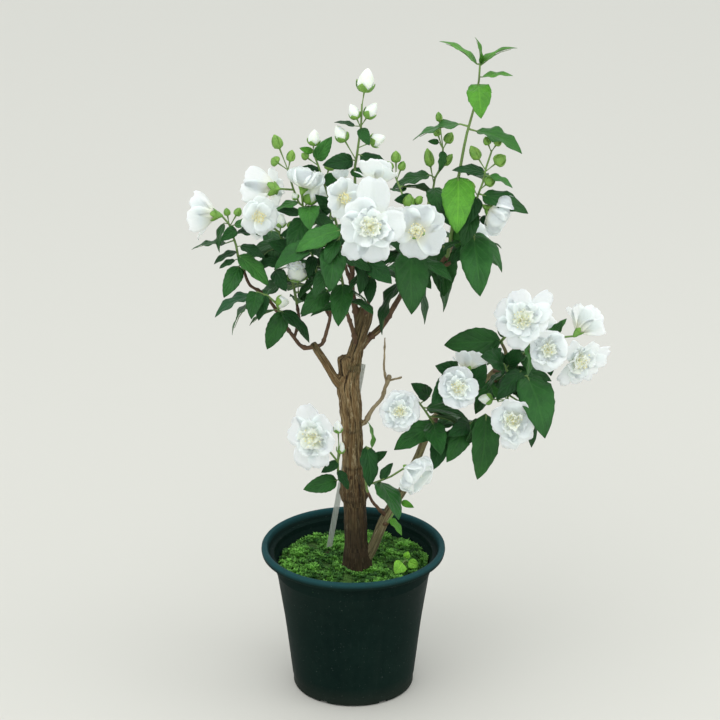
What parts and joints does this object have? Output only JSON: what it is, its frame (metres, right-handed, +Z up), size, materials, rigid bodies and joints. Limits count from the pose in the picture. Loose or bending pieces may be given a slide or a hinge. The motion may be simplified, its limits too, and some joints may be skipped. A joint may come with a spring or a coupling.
{
  "type": "potted mock orange",
  "caption": "Double-flowered mock orange shrub on a short woody trunk, growing in moss-topped soil in a dark green plastic nursery pot.",
  "frame": {"origin": "centre of the flat underside of the pot, which stands on the ground", "axes": "+Z up along the pot's axis and the trunk, -Y toward the side that the picture shows, +X to its right"},
  "size_m": [0.3978, 0.2173, 0.66],
  "materials": {
    "pot_plastic": "semi-matte moulded polypropylene, very dark green, the lip a shade bluer",
    "mossy_soil": null,
    "bark": "rough ridged brown bark, smoother and paler on the young wood",
    "leaf": "soft satin green leaf; paper stands for plant tissue of about 800 kg/m3",
    "petal": "soft matte white petals, cream toward the middle; paper stands for plant tissue",
    "clear_label": "bare translucent plastic label"
  },
  "bodies": {
    "root": {"bloom_back_centre": "petal", "bloom_back_left": "petal", "bloom_back_mid": "petal", "bloom_back_tall": "petal", "bloom_branch_back": "petal", "bloom_branch_far": "petal", "bloom_branch_far_up": "petal", "bloom_branch_low_left": "petal", "bloom_branch_low_right": "petal", "bloom_branch_mid_back": "petal", "bloom_branch_mid_front": "petal", "bloom_branch_near": "petal", "bloom_branch_top": "petal", "bloom_centre_front": "petal", "bloom_centre_left": "petal", "bloom_centre_up": "petal", "bloom_far_left": "petal", "bloom_foot_left": "petal", "bloom_front_right": "petal", "bloom_low_right": "petal", "bloom_mid_left": "petal", "bloom_right": "petal", "bloom_top_left_out": "petal", "bloom_top_left_up": "petal", "bloom_top_mid": "petal", "label_stake": "clear_label", "pot": "pot_plastic", "soil": "mossy_soil", "stem_back_centre": "leaf", "stem_back_left": "leaf", "stem_back_mid": "leaf", "stem_back_right": "leaf", "stem_back_tall": "leaf", "stem_branch_back": "leaf", "stem_branch_fan": "leaf", "stem_branch_low": "leaf", "stem_branch_mid": "leaf", "stem_branch_right": "leaf", "stem_centre": "leaf", "stem_far_left": "leaf", "stem_foot_left": "leaf", "stem_front_left": "leaf", "stem_front_right": "leaf", "stem_low_left": "leaf", "stem_low_right": "leaf", "stem_mid_left": "leaf", "stem_mid_right": "leaf", "stem_right": "leaf", "stem_second_stem": "leaf", "stem_spike": "leaf", "stem_sprout": "leaf", "stem_tall": "leaf", "stem_top_left": "leaf", "stem_top_mid": "leaf", "weed_seedling": "leaf", "wood": "bark"}
  },
  "joints": []
}
